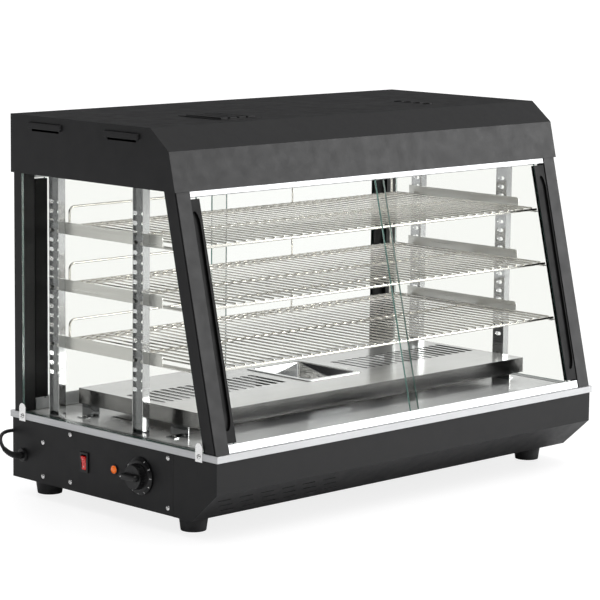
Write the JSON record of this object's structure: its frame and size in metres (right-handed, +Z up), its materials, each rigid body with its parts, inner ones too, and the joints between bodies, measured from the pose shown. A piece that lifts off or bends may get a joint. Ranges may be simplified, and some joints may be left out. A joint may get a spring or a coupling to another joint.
{
  "type": "heated food holding cabinet",
  "caption": "Countertop heated display cabinet with sloped sliding glass doors, wire shelves, a louvred heater deck and a side control panel.",
  "frame": {"origin": "on the counter, under the middle of the cabinet's overall box without its cord", "axes": "+X towards the right-hand end as a customer sees it, -Y towards the customer and the sloped doors, +Z up"},
  "size_m": [0.9388, 0.5892, 0.637],
  "materials": {
    "black_paint": "fine-texture powder coat, low sheen",
    "dark_steel": "painted, matt",
    "trim_steel": "long-grain brushed",
    "mirror_steel": "mirror-polished stainless",
    "pale_steel": "bright annealed",
    "polished_steel": "polished stainless strip",
    "satin_steel": "satin",
    "bright_screws": "bright nickel",
    "zinc_steel": "zinc plated",
    "wire_chrome": "bright nickel-chrome wire",
    "side_glass": "clear tempered, green edge",
    "door_glass": "clear tempered, green edge",
    "track_aluminium": "clear anodised",
    "black_plastic": "semi-gloss moulded",
    "red_plastic": "gloss",
    "amber_lens": "translucent amber",
    "black_rubber": "matt",
    "cord_jacket": "smooth PVC",
    "tie_strap": "woven hook strap",
    "ceramic": "glazed ceramic",
    "lamp_glass": "frosted tube",
    "element_sheath": "oxidised sheath"
  },
  "bodies": {
    "cabinet": {"base_shell": "black_paint", "base_bottom": "dark_steel", "control_cover": "black_paint", "panel_screws": "bright_screws", "trim_frame": "trim_steel", "inner_floor": "mirror_steel", "feet": "black_rubber", "foot_screws": "bright_screws", "roof_cap": "black_paint", "roof_liner": "pale_steel", "front_post_left": "black_paint", "front_post_right": "black_paint", "rear_post_left": "black_paint", "rear_post_right": "black_paint", "side_glass_left": "side_glass", "side_glass_right": "side_glass", "glass_clips": "bright_screws", "clip_screws": "bright_screws", "front_bottom_track": "track_aluminium", "front_top_track": "track_aluminium", "rear_bottom_track": "track_aluminium", "rear_top_track": "track_aluminium", "pilasters_left": "polished_steel", "pilasters_right": "polished_steel", "brackets_top": "satin_steel", "brackets_middle": "satin_steel", "brackets_bottom": "satin_steel", "heater_deck": "mirror_steel", "deck_legs": "polished_steel", "deck_screws": "bright_screws", "heating_element_left": "element_sheath", "heating_element_right": "element_sheath", "element_supports": "polished_steel", "thermostat": "zinc_steel", "switch_housing": "black_plastic", "pilot_lamp": "black_plastic", "pilot_lens": "amber_lens", "terminal_block": "ceramic", "lamp_holders": "ceramic", "lamps": "lamp_glass", "cord_clip": "zinc_steel", "cord_gland": "black_plastic", "power_cord": "cord_jacket", "cord_coil": "cord_jacket", "cord_tie": "tie_strap", "power_plug": "cord_jacket"},
    "rocker_paddle": {"rocker": "red_plastic"},
    "thermostat_dial": {"thermostat_knob": "black_plastic"},
    "top_shelf": {"wire_shelf_top": "wire_chrome"},
    "middle_shelf": {"wire_shelf_middle": "wire_chrome"},
    "bottom_shelf": {"wire_shelf_bottom": "wire_chrome"},
    "humidity_pan": {"water_pan": "mirror_steel"},
    "front_left_door": {"front_left_glass": "door_glass", "front_left_handle": "black_plastic"},
    "front_right_door": {"front_right_glass": "door_glass", "front_right_handle": "black_plastic"},
    "rear_left_door": {"rear_left_glass": "door_glass", "rear_left_handle": "black_plastic"},
    "rear_right_door": {"rear_right_glass": "door_glass", "rear_right_handle": "black_plastic"}
  },
  "joints": [
    {"name": "rocker_tip", "type": "hinge", "parent": "cabinet", "child": "rocker_paddle", "pos_m": [-0.435, 0.061, 0.081], "axis": [0, 1, 0], "range_deg": [0, 16]},
    {"name": "knob_turn", "type": "hinge", "parent": "cabinet", "child": "thermostat_dial", "pos_m": [-0.439, -0.0755, 0.081], "axis": [1, 0, 0], "range_deg": [0, 270]},
    {"name": "top_shelf_lift", "type": "slide", "parent": "cabinet", "child": "top_shelf", "axis": [0, 0, 1], "range_m": [0, 0.012]},
    {"name": "middle_shelf_lift", "type": "slide", "parent": "cabinet", "child": "middle_shelf", "axis": [0, 0, 1], "range_m": [0, 0.012]},
    {"name": "bottom_shelf_lift", "type": "slide", "parent": "cabinet", "child": "bottom_shelf", "axis": [0, 0, 1], "range_m": [0, 0.012]},
    {"name": "pan_lift", "type": "slide", "parent": "cabinet", "child": "humidity_pan", "axis": [0, 0, 1], "range_m": [0, 0.04]},
    {"name": "front_left_slide", "type": "slide", "parent": "cabinet", "child": "front_left_door", "axis": [1, 0, 0], "range_m": [0, 0.39]},
    {"name": "front_right_slide", "type": "slide", "parent": "cabinet", "child": "front_right_door", "axis": [-1, 0, 0], "range_m": [0, 0.4]},
    {"name": "rear_left_slide", "type": "slide", "parent": "cabinet", "child": "rear_left_door", "axis": [1, 0, 0], "range_m": [0, 0.4]},
    {"name": "rear_right_slide", "type": "slide", "parent": "cabinet", "child": "rear_right_door", "axis": [-1, 0, 0], "range_m": [0, 0.4]}
  ]
}
